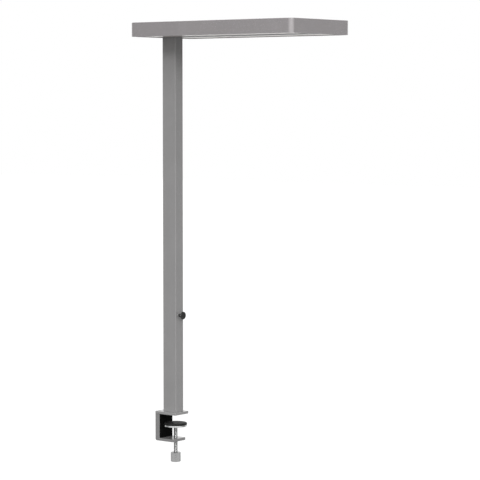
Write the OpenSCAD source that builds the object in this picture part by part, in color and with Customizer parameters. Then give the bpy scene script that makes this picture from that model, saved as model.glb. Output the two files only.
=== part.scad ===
// Desk-clamp office luminaire: a flat rectangular head on a tall rectangular pole,
// held to the edge of a desk top by a screw clamp. Millimetres.
// The origin is on the pole axis, on the face that rests on the desk top.
// +X runs along the head, +Y across it and +Z up.

/* [Head] */
// Length of the head
head_l = 602; // [480:2:800]
// Width of the head
head_w = 280; // [240:10:360]
// Height of the head's side
head_h = 42; // [40:1:60]
// Radius of the head's upright corners
head_corner_r = 14; // [10:1:30]
// Distance from the pole axis to the head's rear end
head_back = 48; // [42:1:80]
// Wall of the head housing
head_wall = 2.5; // [2:0.5:4]
// Height of the head's lower edge above the desk top
head_z = 1142; // [800:2:1300]
// Width of the lip that carries a diffuser's outer edge
lip_w = 2; // [1.5:0.5:5]
// Height of the diffusers above the head's lower edge
recess = 1.8; // [1.5:0.1:4]
// Thickness of a diffuser
diffuser_t = 2; // [1.5:0.5:4]
// Thickness of the optic frame's upstand
frame_t = 1.2; // [1:0.1:2]
// Height of the optic frame's upstand
frame_h = 10; // [6:1:14]

/* [Centre bar] */
// Width of the bar between the two diffusers
bar_w = 56; // [54:1:80]
// Thickness of the bar's sheet
bar_t = 1; // [0.8:0.1:1.4]
// Width of the bar's edge that carries a diffuser
bar_edge = 5; // [3:0.5:6]

/* [Light source] */
// Thickness of the carrier plate under the housing's top
carrier_t = 2; // [1.5:0.5:3]
// Thickness of an LED board
board_t = 1.6; // [1:0.2:2]
// Thickness of a reflector's sheet
reflector_t = 0.6; // [0.4:0.1:1]
// Distance from one LED to the next along a row
led_pitch = 25; // [20:1:60]
// Side of an LED
led_side = 3; // [2:0.5:4]
// Height of an LED
led_h = 0.8; // [0.5:0.1:1.2]
// Length of the LED driver
driver_l = 280; // [120:10:290]
// Width of the LED driver
driver_w = 28; // [20:1:30]
// Height of the LED driver
driver_h = 21; // [15:1:24]

/* [Pole] */
// Pole section along X
pole_x = 50; // [44:1:64]
// Pole section along Y
pole_y = 35; // [32:1:40]
// Wall of the pole tube
pole_wall = 2; // [1.5:0.5:3]
// Outer radius of the pole's corners
pole_r = 1; // [1:0.5:3]
// Height of the insert in the pole's foot
insert_h = 36; // [28:1:44]
// Length of the head spigot inside the pole
spigot_l = 60; // [50:1:90]
// Thickness of the spigot's flange
flange_t = 6; // [4:0.5:8]
// Overhang of the spigot's flange beyond the pole, each way along X
flange_over = 12; // [10:1:14]

/* [Control] */
// Height of the control knob above the desk top
knob_z = 303; // [200:1:700]
// Diameter of the control knob
knob_d = 23; // [16:1:28]
// Thickness of the control knob
knob_t = 4; // [3:0.5:10]
// Distance from the pole's face to the back of the knob
knob_off = 12.5; // [8:0.5:20]
// Radius of the dimmer's shaft
shaft_r = 3; // [2.5:0.1:4]
// Travel of the push switch
push_travel = 1.5; // [1:0.1:2]
// Side of the dimmer's square body
dimmer_side = 16; // [14:1:20]
// Depth of the dimmer's body
dimmer_depth = 17; // [15:1:20]

/* [Cable entry] */
// Height of the cable gland above the desk top
gland_z = 62; // [58:1:70]
// Radius of the gland's bore
gland_bore_r = 4; // [3:0.5:5]
// Radius of the internal mains lead
lead_r = 3.5; // [2.5:0.5:4]
// Radius of the dimmer's lead
wire_r = 2; // [1.5:0.5:2.5]

/* [Foot plate] */
// Length of the foot plate along X
plate_l = 80; // [76:1:110]
// Width of the foot plate along Y
plate_w = 62; // [60:1:90]
// Thickness of the foot plate
plate_t = 8; // [7:0.5:12]
// Radius of the plate's corners
plate_r = 1; // [1:0.5:5]
// Distance from the pole axis to the plate's rear edge
plate_back = 46; // [44:0.5:50]
// Depth of the seat that the clamp bracket stands in
seat_d = 1; // [0.5:0.1:2]

/* [Clamp] */
// Width of the clamp bracket along Y
bracket_w = 60; // [50:1:60]
// Distance from the pole axis to the bracket's rear face
bracket_back = 46.5; // [44:0.5:50]
// Thickness of the bracket's upright wall
wall_t = 16.5; // [14:0.5:17]
// Thickness of the bracket's lower jaw
jaw_t = 8.5; // [6:0.5:12]
// Length of the lower jaw from the bracket's rear face
jaw_l = 69; // [66:1:76]
// Gap between the desk face and the lower jaw
throat = 74; // [70:1:110]
// Radius of the bracket's lower rear corner
bracket_r = 6; // [4:1:14]
// Thickness of the liner on the upright wall
liner_t = 1.5; // [1:0.5:2.5]

/* [Clamp screw] */
// Distance from the pole axis to the spindle
spindle_x = 9; // [8:0.5:10]
// Radius of the spindle's thread
spindle_r = 6; // [4:0.5:6.5]
// Distance from the desk face down to the pad
pad_gap = 26; // [15:1:30]
// Radius of the pressure plate and its pad
pad_r = 35; // [25:1:36]
// Thickness of the rubber pad
pad_t = 6.5; // [4:0.5:8]
// Thickness of the pressure plate
press_t = 5; // [5:0.5:6]
// Diameter of the spindle's knob
grip_d = 30; // [24:1:40]
// Height of the spindle's knob
grip_h = 29; // [24:1:40]
// Free length of the spindle between the pressure plate and its knob
spindle_free = 79.5; // [77:0.5:120]
// Bevel at the knob's lower edge
grip_bevel = 1.5; // [1:0.5:4]

/* [Hidden] */
$fn = 64;
fit_gap = 0.3; // loose pieces and inserts, each side
run_gap = 0.05; // running and tapped fits, radial
csk_gap = 0.1; // round a countersunk screw, and behind its head
eps = 0.01; // how far joined shapes run into each other
cut = 1; // how far a cut runs past a face

// head levels and plan
head_x0 = -head_back;
head_x1 = head_l - head_back;
head_top = head_z + head_h;
in_x0 = head_x0 + head_wall;
in_x1 = head_x1 - head_wall;
in_y = head_w / 2 - head_wall;
in_r = head_corner_r - head_wall;
rim_w = head_wall + 2 * fit_gap + frame_t + lip_w;
lip_in = rim_w - head_wall;
optic_in = 2 * fit_gap + frame_t; // a diffuser's edge, from the housing's inner face
carrier_top = head_top - head_wall;
carrier_z = carrier_top - carrier_t;
board_z = carrier_z - board_t;
diffuser_z = head_z + recess;
bar_z = diffuser_z - bar_t;
web_y = bar_w / 2 - bar_edge;
web_in = web_y - bar_t;
chamber_z = diffuser_z + diffuser_t;

// light source
board_end = 24; // from the housing's inner end to a board
board_side = 14; // from the housing's inner side to a board
board_y0 = web_y + 6;
board_y1 = in_y - board_side;
led_inset = 10; // from a board's end to its first LED
led_rows = [board_y0 + (board_y1 - board_y0) / 4, board_y1 - (board_y1 - board_y0) / 4];
led_x0 = in_x0 + board_end + led_inset;
led_n = floor((in_x1 - board_end - led_inset - led_x0) / led_pitch);
led_slot = led_side + 2; // width of the reflector's slot over a row of LEDs
reflector_in = optic_in + 0.5; // a reflector's edge, from the housing's inner face

// things in the centre channel, one behind the other along X
terminal_gap = 18; // from the spigot's flange to the terminal block
terminal_x0 = pole_x / 2 + flange_over + terminal_gap;
terminal_l = 24;
terminal_w = 18;
terminal_x1 = terminal_x0 + terminal_l;
driver_gap = 16; // from the terminal block to the driver, with a stud between them
driver_x0 = terminal_x1 + driver_gap;
driver_x1 = driver_x0 + driver_l;
stud_r = 2;
stud_end = 1; // of a stud, past its nut
stud_xs = [terminal_x1 + driver_gap / 2, driver_x1 + 12, in_x1 - 20];
nut_r = 4;
nut_t = 3.2;
tab_l = 12;
tab_w = 6;
tab_xs = [terminal_x0 - 10, driver_x1 + 28, in_x1 - 40];
tab_screw_r = 1.5;
tab_head_r = 2.7;
tab_head_t = 1.8;

// pole
pole_top = bar_z;
pole_in_x = pole_x / 2 - pole_wall;
pole_in_y = pole_y / 2 - pole_wall;
insert_x = pole_in_x - fit_gap;
insert_y = pole_in_y - fit_gap;
insert_z1 = plate_t + insert_h;
set_r = 2.5;
set_head_r = 4.6;
set_l = 10;
set_end = 11; // from the end of the insert or spigot to the first set screw
set_zs = [plate_t + set_end, plate_t + insert_h - set_end,
          pole_top - set_end, pole_top - spigot_l + set_end];
flange_x = pole_x / 2 + flange_over;
flange_y = web_in - 2; // clear of the centre bar's webs
flange_z = carrier_z - flange_t;
top_screw_r = 2.5;
top_head_r = 4.8;
top_screw_x = pole_x / 2 + flange_over / 2;
top_screw_y = 11;
top_screw_l = head_wall + carrier_t + flange_t - 1;

// leads
lead_x = -8;
lead_gap = 2; // round the leads where they pass metal
lead_run_z = flange_z - lead_r - lead_gap;
lead_bend = 14;
wire_x = 12;
wire_run_z = lead_run_z - lead_r - wire_r - 1.5 * lead_gap;
wire_bend = 8;
slot_x0 = lead_x - lead_r - lead_gap;
slot_x1 = wire_x + wire_r + lead_gap;
slot_y = lead_r + lead_gap;
slot_z0 = wire_run_z - wire_bend + wire_r;
junction_z0 = gland_z + 22;
junction_h = 26;
junction_x1 = lead_x + lead_r + 6;
junction_y = 8;
gland_flange_r = 8;
gland_flange_t = 2.5;
gland_ring_r = gland_flange_r - 1;
gland_ring_t = 2;
gland_play = 0.1;
gland_neck_r = gland_bore_r + 2;

// control
face_x = pole_x / 2;
bush_r = shaft_r + 0.8;
bush_l = 3.6;
bush_gap = 0.1; // round the bush in the pole's wall
nut_out_r = bush_r + 1.2;
nut_out_t = 2.5;
dimmer_x1 = pole_in_x;
dimmer_x0 = dimmer_x1 - dimmer_depth;
dimmer_back = 3.5; // solid back of the dimmer's body
plunger_t = 3;
plunger_gap = 0.5; // left behind the plunger when it is pushed home
shaft_x0 = dimmer_x0 + dimmer_back + plunger_gap + push_travel + plunger_t;
knob_x0 = face_x + knob_off;
knob_x1 = knob_x0 + knob_t;
cavity_r = shaft_r + 2;
plunger_play = 0.1;
knob_edge = 1.2; // bevel at the knob's front, and half as much at its back

// clamp
plate_x0 = -plate_back;
plate_x1 = plate_l - plate_back;
bracket_x0 = -bracket_back;
wall_x1 = bracket_x0 + wall_t;
liner_x1 = wall_x1 + liner_t;
jaw_x1 = bracket_x0 + jaw_l;
jaw_top = -throat;
jaw_bottom = jaw_top - jaw_t;
m6_r = 3;
m6_head_r = 5.8;
m6_head_h = 3;
m6_sink = 0.3; // how deep a countersunk head lies below its face
foot_screw_x = 11;
foot_screw_l = plate_t + 16;
tip_gap = 1; // left in a tapped hole past its screw
wall_screw_x = (plate_x0 + wall_x1) / 2;
wall_screw_y = bracket_w / 2 - 10;
wall_screw_l = 26;

// clamp screw
pad_top = -pad_gap;
press_top = pad_top - pad_t;
press_bottom = press_top - press_t;
neck_r = spindle_r - 1;
neck_play = 0.1; // between the pressure plate and the spindle, above and below
bolt_head_r = neck_r + 1.5;
bolt_head_t = 2;
bolt_sink_r = bolt_head_r + 0.5;
bolt_r = 2.5;
bolt_l = 14;
sink_z = press_top - bolt_head_t - 0.7;
neck_top = sink_z + neck_play;
shoulder_z = press_bottom - neck_play;
press_bevel = 0.8;
grip_top = shoulder_z - spindle_free;
grip_bottom = grip_top - grip_h;
grip_top_bevel = 1;
grip_bore = 22; // depth of the knob's bore
grub_r = 2;
grub_z = grip_top - grip_bore / 2;

paint = [0.57, 0.56, 0.56];
steel = [0.62, 0.62, 0.63];
black = [0.07, 0.07, 0.07];

// ---------- shared shapes ----------

// box from corner to corner, with its upright edges rounded
module slab(x0, x1, y0, y1, z0, z1, r) {
  translate([x0 + r, y0, z0]) cube([x1 - x0 - 2 * r, y1 - y0, z1 - z0]);
  translate([x0, y0 + r, z0]) cube([x1 - x0, y1 - y0 - 2 * r, z1 - z0]);
  for (x = [x0 + r, x1 - r], y = [y0 + r, y1 - r])
    translate([x, y, z0]) cylinder(r = r, h = z1 - z0);
}

module block(x0, x1, y0, y1, z0, z1) {
  translate([x0, y0, z0]) cube([x1 - x0, y1 - y0, z1 - z0]);
}

// slab that follows the inside of the head, drawn in by a distance
module head_fill(inset, z0, z1) {
  slab(in_x0 + inset, in_x1 - inset, -in_y + inset, in_y - inset, z0, z1,
       max(in_r - inset, fit_gap));
}

// countersunk screw: its head's face is at z = 0 and its shank runs down -Z
module csk_screw(r, head_r, length) {
  cone_h = head_r - r;
  translate([0, 0, -cone_h]) cylinder(r1 = r, r2 = head_r, h = cone_h);
  translate([0, 0, -length]) cylinder(r = r, h = length - cone_h + eps);
}

// hole for such a screw: clearance all round, open above the head
module csk_hole(r, head_r, length) {
  cone_h = head_r - r;
  translate([0, 0, -cone_h]) cylinder(r1 = r + csk_gap, r2 = head_r + csk_gap, h = cone_h);
  translate([0, 0, -eps]) cylinder(r = head_r + csk_gap, h = cut);
  translate([0, 0, -length - csk_gap]) cylinder(r = r + csk_gap, h = length);
}

// wire that rises along Z at x, bends to +X at a height and ends at x1
module bent_lead(x, z0, run_z, x1, bend, r) {
  translate([x, 0, z0]) cylinder(r = r, h = run_z - bend - z0);
  translate([x + bend, 0, run_z - bend]) rotate([90, -90, 0])
    rotate_extrude(angle = 90) translate([bend, 0]) circle(r = r);
  translate([x + bend, 0, run_z]) rotate([0, 90, 0]) cylinder(r = r, h = x1 - x - bend);
}

// ---------- head ----------

module head_housing() {
  color(paint) {
    difference() {
      slab(head_x0, head_x1, -head_w / 2, head_w / 2, head_z, head_top, head_corner_r);
      head_fill(0, head_z - cut, carrier_top);
      at_top_screws() csk_hole(top_screw_r, top_head_r, top_screw_l);
    }
    for (x = stud_xs)
      translate([x, 0, carrier_z - nut_t - stud_end])
        cylinder(r = stud_r, h = stud_end + nut_t + carrier_t + eps);
  }
}

module at_top_screws() {
  for (x = [-1, 1], y = [-1, 1])
    translate([x * top_screw_x, y * top_screw_y, head_top - csk_gap]) children();
}

module optic_frame() {
  color(paint) {
    difference() {
      head_fill(fit_gap, head_z, diffuser_z);
      head_fill(lip_in, head_z - cut, diffuser_z + cut);
    }
    difference() {
      head_fill(fit_gap, diffuser_z - eps, diffuser_z + frame_h);
      head_fill(fit_gap + frame_t, diffuser_z - cut, diffuser_z + frame_h + cut);
    }
  }
}

module centre_bar() {
  bar_x0 = in_x0 + lip_in + fit_gap;
  bar_x1 = in_x1 - lip_in - fit_gap;
  color(paint) difference() {
    union() {
      block(bar_x0, bar_x1, -bar_w / 2, bar_w / 2, bar_z, diffuser_z);
      for (s = [-1, 1]) scale([1, s, 1]) {
        block(bar_x0, bar_x1, web_in, web_y, bar_z, carrier_z);
        for (x = tab_xs)
          block(x - tab_l / 2, x + tab_l / 2, web_in - tab_w, web_y - eps,
                carrier_z - bar_t, carrier_z);
      }
    }
    block(-insert_x - fit_gap, insert_x + fit_gap, -insert_y - fit_gap, insert_y + fit_gap,
          bar_z - cut, diffuser_z + cut);
    at_tab_screws(bar_t + cut) cylinder(r = tab_screw_r + run_gap, h = bar_t + 2 * cut);
  }
}

module at_tab_screws(down) {
  for (x = tab_xs, s = [-1, 1])
    translate([x, s * (web_in - tab_w / 2), carrier_z - down]) children();
}

module bar_screws() {
  color(steel) at_tab_screws(bar_t) {
    cylinder(r = tab_screw_r, h = bar_t + carrier_t);
    translate([0, 0, -tab_head_t]) cylinder(r = tab_head_r, h = tab_head_t);
  }
}

// one side's optic chamber in plan, from the bar to the head's wall
module optic_side(side, y0, inset, z0, z1) {
  intersection() {
    head_fill(inset, z0, z1);
    scale([1, side, 1]) block(head_x0, head_x1, y0, head_w / 2, z0 - cut, z1 + cut);
  }
}

module diffuser(side) {
  color([0.9, 0.88, 0.86]) optic_side(side, web_y + fit_gap, optic_in, diffuser_z, chamber_z);
}

module diffuser_front() { diffuser(-1); }

module diffuser_rear() { diffuser(1); }

module reflector(side) {
  color([0.95, 0.95, 0.95]) difference() {
    optic_side(side, web_y + fit_gap, reflector_in, chamber_z, board_z);
    optic_side(side, web_y + fit_gap + reflector_t, reflector_in + reflector_t,
               chamber_z - cut, board_z - reflector_t);
    for (y = led_rows) scale([1, side, 1])
      block(led_x0 - led_slot, led_x0 + led_n * led_pitch + led_slot,
            y - led_slot / 2, y + led_slot / 2, board_z - reflector_t - cut, board_z + cut);
  }
}

module reflector_front() { reflector(-1); }

module reflector_rear() { reflector(1); }

module led_board(side) {
  color([0.88, 0.9, 0.88]) scale([1, side, 1])
    block(in_x0 + board_end, in_x1 - board_end, board_y0, board_y1, board_z, carrier_z);
}

module led_board_front() { led_board(-1); }

module led_board_rear() { led_board(1); }

module leds() {
  color([0.95, 0.85, 0.45])
    for (side = [-1, 1], y = led_rows, i = [0 : led_n])
      translate([led_x0 + i * led_pitch, side * y, board_z - led_h / 2])
        cube([led_side, led_side, led_h], center = true);
}

module carrier_plate() {
  color([0.75, 0.76, 0.77]) difference() {
    head_fill(fit_gap, carrier_z, carrier_top);
    for (x = stud_xs) translate([x, 0, carrier_z - cut])
      cylinder(r = stud_r + csk_gap, h = carrier_t + 2 * cut);
    at_top_screws() translate([0, 0, csk_gap - head_wall - carrier_t - cut])
      cylinder(r = top_screw_r + csk_gap, h = carrier_t + 2 * cut);
    at_tab_screws(cut) cylinder(r = tab_screw_r + run_gap, h = carrier_t + 2 * cut);
  }
}

module carrier_nuts() {
  color(steel) for (x = stud_xs)
    translate([x, 0, carrier_z - nut_t]) difference() {
      cylinder(r = nut_r, h = nut_t, $fn = 6);
      translate([0, 0, -cut]) cylinder(r = stud_r + run_gap, h = nut_t + 2 * cut);
    }
}

module led_driver() {
  color([0.85, 0.86, 0.86])
    block(driver_x0, driver_x1, -driver_w / 2, driver_w / 2, carrier_z - driver_h, carrier_z);
}

module head_terminal() {
  color([0.9, 0.9, 0.88])
    block(terminal_x0, terminal_x1, -terminal_w / 2, terminal_w / 2,
          wire_run_z - wire_r - lead_gap, carrier_z);
}

module driver_lead() {
  color(black) translate([terminal_x1, 0, lead_run_z + lead_r - wire_r]) rotate([0, 90, 0])
    cylinder(r = wire_r, h = driver_x0 - terminal_x1);
}

module head_spigot() {
  color([0.7, 0.7, 0.71]) difference() {
    union() {
      block(-insert_x, insert_x, -insert_y, insert_y, pole_top - spigot_l, flange_z + eps);
      block(-flange_x, flange_x, -flange_y, flange_y, flange_z, carrier_z);
    }
    block(slot_x0, slot_x1, -slot_y, slot_y, pole_top - spigot_l - cut, flange_z);
    block(slot_x0, insert_x + cut, -slot_y, slot_y, slot_z0, flange_z);
    at_top_screws() translate([0, 0, csk_gap - head_wall - carrier_t - flange_t - cut])
      cylinder(r = top_screw_r + run_gap, h = flange_t + 2 * cut);
    at_set_screws([set_zs[2], set_zs[3]])
      cylinder(r = set_r + run_gap, h = set_l);
  }
}

module head_screws() {
  color(steel) at_top_screws() csk_screw(top_screw_r, top_head_r, top_screw_l);
}

// ---------- pole ----------

module pole_tube() {
  color(paint) difference() {
    slab(-pole_x / 2, pole_x / 2, -pole_y / 2, pole_y / 2, plate_t, pole_top, pole_r);
    block(-pole_in_x, pole_in_x, -pole_in_y, pole_in_y, plate_t - cut, pole_top + cut);
    at_set_screws(set_zs) rotate([180, 0, 0]) csk_hole(set_r, set_head_r, set_l);
    translate([-pole_x / 2 - cut, 0, gland_z]) rotate([0, 90, 0])
      cylinder(r = gland_neck_r + gland_play, h = pole_wall + 2 * cut);
    along_x(pole_in_x - cut) cylinder(r = bush_r + bush_gap, h = pole_wall + 2 * cut);
  }
}

// screws in the pole's rear face: +Z of a child runs into the pole along +X
module at_set_screws(zs) {
  for (z = zs) translate([csk_gap - pole_x / 2, 0, z]) rotate([0, 90, 0]) children();
}

module pole_insert() {
  color([0.7, 0.7, 0.71]) difference() {
    block(-insert_x, insert_x, -insert_y, insert_y, plate_t, insert_z1);
    for (s = [-1, 1]) translate([s * foot_screw_x, 0, plate_t - cut])
      cylinder(r = m6_r + run_gap, h = foot_screw_l - plate_t + cut);
    at_set_screws([set_zs[0], set_zs[1]])
      cylinder(r = set_r + run_gap, h = set_l);
  }
}

module pole_screws() {
  color(steel) at_set_screws(set_zs) rotate([180, 0, 0]) csk_screw(set_r, set_head_r, set_l - tip_gap);
}

module cable_gland() {
  color(black) translate([-pole_x / 2, 0, gland_z]) rotate([0, 90, 0]) difference() {
    union() {
      translate([0, 0, -gland_flange_t])
        cylinder(r1 = gland_ring_r, r2 = gland_flange_r, h = gland_flange_t);
      translate([0, 0, -eps]) cylinder(r = gland_neck_r, h = pole_wall + gland_play + 2 * eps);
      translate([0, 0, pole_wall + gland_play]) cylinder(r = gland_ring_r, h = gland_ring_t);
    }
    translate([0, 0, -gland_flange_t - cut])
      cylinder(r = gland_bore_r, h = gland_flange_t + pole_wall + gland_play + gland_ring_t + 2 * cut);
  }
}

module mains_terminal() {
  color([0.9, 0.9, 0.88])
    block(-pole_in_x, junction_x1, -junction_y, junction_y, junction_z0, junction_z0 + junction_h);
}

module mains_lead() {
  color(black)
    bent_lead(lead_x, junction_z0 + junction_h, lead_run_z, terminal_x0, lead_bend, lead_r);
}

module dimmer_lead() {
  color(black)
    bent_lead(wire_x, knob_z + dimmer_side / 2, wire_run_z, terminal_x0, wire_bend, wire_r);
}

// ---------- control ----------

module along_x(x) {
  translate([x, 0, knob_z]) rotate([0, 90, 0]) children();
}

module dimmer_body() {
  color([0.25, 0.25, 0.27]) difference() {
    union() {
      block(dimmer_x0, dimmer_x1, -dimmer_side / 2, dimmer_side / 2,
            knob_z - dimmer_side / 2, knob_z + dimmer_side / 2);
      along_x(dimmer_x1 - eps) cylinder(r = bush_r, h = bush_l + eps);
    }
    along_x(dimmer_x0 + dimmer_back) cylinder(r = cavity_r, h = shaft_x0 - dimmer_x0 - dimmer_back);
    along_x(shaft_x0 - cut) cylinder(r = shaft_r + run_gap, h = dimmer_depth + bush_l);
  }
}

module dimmer_nut() {
  color(black) along_x(face_x) difference() {
    cylinder(r = nut_out_r, h = nut_out_t);
    translate([0, 0, -cut]) cylinder(r = bush_r + run_gap, h = nut_out_t + 2 * cut);
  }
}

module switch_plunger() {
  color([0.9, 0.9, 0.88])
    along_x(shaft_x0 - plunger_t) cylinder(r = cavity_r - plunger_play, h = plunger_t);
}

module dimmer_shaft() {
  color(steel) along_x(shaft_x0) cylinder(r = shaft_r, h = knob_x0 + knob_t / 2 - shaft_x0);
}

module control_knob() {
  color(black) along_x(knob_x0) difference() {
    union() {
      cylinder(r1 = knob_d / 2 - knob_edge / 2, r2 = knob_d / 2, h = knob_edge / 2);
      translate([0, 0, knob_edge / 2]) cylinder(r = knob_d / 2, h = knob_t - 1.5 * knob_edge);
      translate([0, 0, knob_t - knob_edge])
        cylinder(r1 = knob_d / 2, r2 = knob_d / 2 - knob_edge, h = knob_edge);
    }
    translate([0, 0, -cut]) cylinder(r = shaft_r + run_gap, h = knob_t / 2 + cut);
  }
}

// ---------- foot and clamp ----------

module foot_plate() {
  color(paint) difference() {
    slab(plate_x0, plate_x1, -plate_w / 2, plate_w / 2, 0, plate_t, plate_r);
    block(plate_x0 - cut, liner_x1 + fit_gap, -plate_w, plate_w, -cut, seat_d);
    at_foot_screws() rotate([180, 0, 0]) csk_hole(m6_r, m6_head_r, foot_screw_l);
    at_wall_screws() csk_hole(m6_r, m6_head_r, wall_screw_l);
  }
}

module at_foot_screws() {
  for (s = [-1, 1]) translate([s * foot_screw_x, 0, m6_sink]) children();
}

module at_wall_screws() {
  for (s = [-1, 1]) translate([wall_screw_x, s * wall_screw_y, plate_t - m6_sink]) children();
}

module foot_screws() {
  color(steel) at_foot_screws() rotate([180, 0, 0]) csk_screw(m6_r, m6_head_r, foot_screw_l - tip_gap);
}

module bracket_screws() {
  color(steel) at_wall_screws() csk_screw(m6_r, m6_head_r, wall_screw_l - tip_gap);
}

module clamp_bracket() {
  color(paint) difference() {
    intersection() {
      translate([0, bracket_w / 2, 0]) rotate([90, 0, 0]) linear_extrude(bracket_w) bracket_side();
      slab(bracket_x0 - bracket_r, jaw_x1, -bracket_w / 2, bracket_w / 2,
           jaw_bottom - cut, seat_d + cut, plate_r);
    }
    translate([spindle_x, 0, jaw_bottom - cut])
      cylinder(r = spindle_r + run_gap, h = jaw_t + 2 * cut);
    at_wall_screws() translate([0, 0, -wall_screw_l]) cylinder(r = m6_r + run_gap, h = wall_screw_l);
  }
}

// the bracket's outline from the side: upright wall, lower jaw, one rounded corner
module bracket_side() {
  difference() {
    union() {
      translate([bracket_x0, jaw_bottom]) square([wall_t, seat_d - jaw_bottom]);
      translate([bracket_x0, jaw_bottom]) square([jaw_l, jaw_t]);
    }
    difference() {
      translate([bracket_x0 - cut, jaw_bottom - cut]) square(bracket_r + cut);
      translate([bracket_x0 + bracket_r, jaw_bottom + bracket_r]) circle(r = bracket_r);
    }
  }
}

module wall_liner() {
  color(black) block(wall_x1, liner_x1, -bracket_w / 2, bracket_w / 2, jaw_top, seat_d);
}

module pressure_plate() {
  color(steel) translate([spindle_x, 0, 0]) difference() {
    union() {
      translate([0, 0, press_bottom])
        cylinder(r1 = pad_r - press_bevel, r2 = pad_r, h = press_bevel);
      translate([0, 0, press_bottom + press_bevel])
        cylinder(r = pad_r, h = press_t - press_bevel);
    }
    translate([0, 0, press_bottom - cut]) cylinder(r = neck_r + run_gap, h = press_t);
    translate([0, 0, sink_z]) cylinder(r = bolt_sink_r, h = press_t);
  }
}

module pressure_pad() {
  color(black) translate([spindle_x, 0, press_top]) rotate_extrude() {
    square([pad_r, pad_t / 2]);
    square([pad_r - pad_t / 2, pad_t]);
    translate([pad_r - pad_t / 2, pad_t / 2]) circle(r = pad_t / 2);
  }
}

// the thread runs at its outer diameter; a neck carries the pressure plate
module spindle() {
  color(steel) translate([spindle_x, 0, 0]) difference() {
    union() {
      translate([0, 0, grip_top - grip_bore])
        cylinder(r = spindle_r, h = shoulder_z - grip_top + grip_bore);
      translate([0, 0, shoulder_z - eps]) cylinder(r = neck_r, h = neck_top - shoulder_z + eps);
    }
    translate([0, 0, neck_top - bolt_l]) cylinder(r = bolt_r + run_gap, h = bolt_l + cut);
  }
}

module plate_screw() {
  color(steel) translate([spindle_x, 0, neck_top]) {
    cylinder(r = bolt_head_r, h = bolt_head_t);
    translate([0, 0, tip_gap - bolt_l]) cylinder(r = bolt_r, h = bolt_l - tip_gap + eps);
  }
}

module spindle_knob() {
  color([0.66, 0.66, 0.65]) translate([spindle_x, 0, grip_bottom]) difference() {
    union() {
      cylinder(r1 = grip_d / 2 - grip_bevel, r2 = grip_d / 2, h = grip_bevel);
      translate([0, 0, grip_bevel])
        cylinder(r = grip_d / 2, h = grip_h - grip_bevel - grip_top_bevel);
      translate([0, 0, grip_h - grip_top_bevel])
        cylinder(r1 = grip_d / 2, r2 = grip_d / 2 - grip_top_bevel, h = grip_top_bevel);
    }
    translate([0, 0, grip_h - grip_bore]) cylinder(r = spindle_r + run_gap, h = grip_bore + cut);
    translate([0, 0, grub_z - grip_bottom]) rotate([0, -90, 0]) cylinder(r = grub_r + run_gap, h = grip_d);
  }
}

module knob_grub_screw() {
  color(steel) translate([spindle_x - spindle_r - run_gap, 0, grub_z]) rotate([0, -90, 0])
    cylinder(r = grub_r, h = grip_d / 2 - spindle_r - tip_gap);
}

head_housing();
optic_frame();
centre_bar();
bar_screws();
diffuser_front();
diffuser_rear();
reflector_front();
reflector_rear();
led_board_front();
led_board_rear();
leds();
carrier_plate();
carrier_nuts();
led_driver();
head_terminal();
driver_lead();
head_spigot();
head_screws();
pole_tube();
pole_insert();
pole_screws();
cable_gland();
mains_terminal();
mains_lead();
dimmer_lead();
dimmer_body();
dimmer_nut();
switch_plunger();
dimmer_shaft();
control_knob();
foot_plate();
foot_screws();
clamp_bracket();
bracket_screws();
wall_liner();
pressure_plate();
pressure_pad();
spindle();
plate_screw();
spindle_knob();
knob_grub_screw();
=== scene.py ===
import math

import bpy
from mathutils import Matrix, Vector


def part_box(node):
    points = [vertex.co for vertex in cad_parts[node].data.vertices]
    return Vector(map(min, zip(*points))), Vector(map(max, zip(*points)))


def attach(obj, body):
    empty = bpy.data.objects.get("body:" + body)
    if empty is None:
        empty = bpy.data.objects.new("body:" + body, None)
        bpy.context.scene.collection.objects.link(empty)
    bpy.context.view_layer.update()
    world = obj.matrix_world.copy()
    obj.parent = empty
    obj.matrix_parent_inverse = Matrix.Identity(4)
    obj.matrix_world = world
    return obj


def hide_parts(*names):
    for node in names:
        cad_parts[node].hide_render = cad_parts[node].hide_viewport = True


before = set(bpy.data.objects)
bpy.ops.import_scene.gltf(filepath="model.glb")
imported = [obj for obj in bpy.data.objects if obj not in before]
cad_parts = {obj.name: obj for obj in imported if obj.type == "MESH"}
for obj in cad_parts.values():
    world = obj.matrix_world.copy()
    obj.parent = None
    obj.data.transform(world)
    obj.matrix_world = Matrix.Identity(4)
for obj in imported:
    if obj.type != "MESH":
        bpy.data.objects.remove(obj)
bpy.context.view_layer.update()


def mm(value):
    return value / 1000


def srgb(code):
    # a hex colour as linear light
    channels = [int(code[i:i + 2], 16) / 255 for i in (1, 3, 5)]
    linear = [c / 12.92 if c <= 0.04045 else ((c + 0.055) / 1.055) ** 2.4 for c in channels]
    return (*linear, 1.0)


def addNode(tree, kind, settings=None, inputs=None):
    # one node with its settings; an input is another node's output, or a plain value
    node = tree.nodes.new(kind)
    for key, value in (settings or {}).items():
        setattr(node, key, value)
    for key, value in (inputs or {}).items():
        if isinstance(value, bpy.types.NodeSocket):
            tree.links.new(value, node.inputs[key])
        else:
            node.inputs[key].default_value = value
    return node


print("camera")
# fitted to the outline of the head, the pole and the clamp in the photograph
cameraSettings = {
    "place": (4.0282, -4.7930, 0.9476),
    "yawDegrees": 38.184,
    "pitchDegrees": -3.811,
    "focalMm": 155.05,
    "sensorMm": 36.0,
    "farthest": 100.0,
}


def makeCamera(settings):
    data = bpy.data.cameras.new("productCamera")
    data.lens = settings["focalMm"]
    data.sensor_width = settings["sensorMm"]
    data.clip_end = settings["farthest"]
    camera = bpy.data.objects.new("productCamera", data)
    camera.location = settings["place"]
    tilt = math.radians(90 + settings["pitchDegrees"])
    camera.rotation_euler = (tilt, 0, math.radians(settings["yawDegrees"]))
    bpy.context.scene.collection.objects.link(camera)
    bpy.context.scene.camera = camera


makeCamera(cameraSettings)

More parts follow.
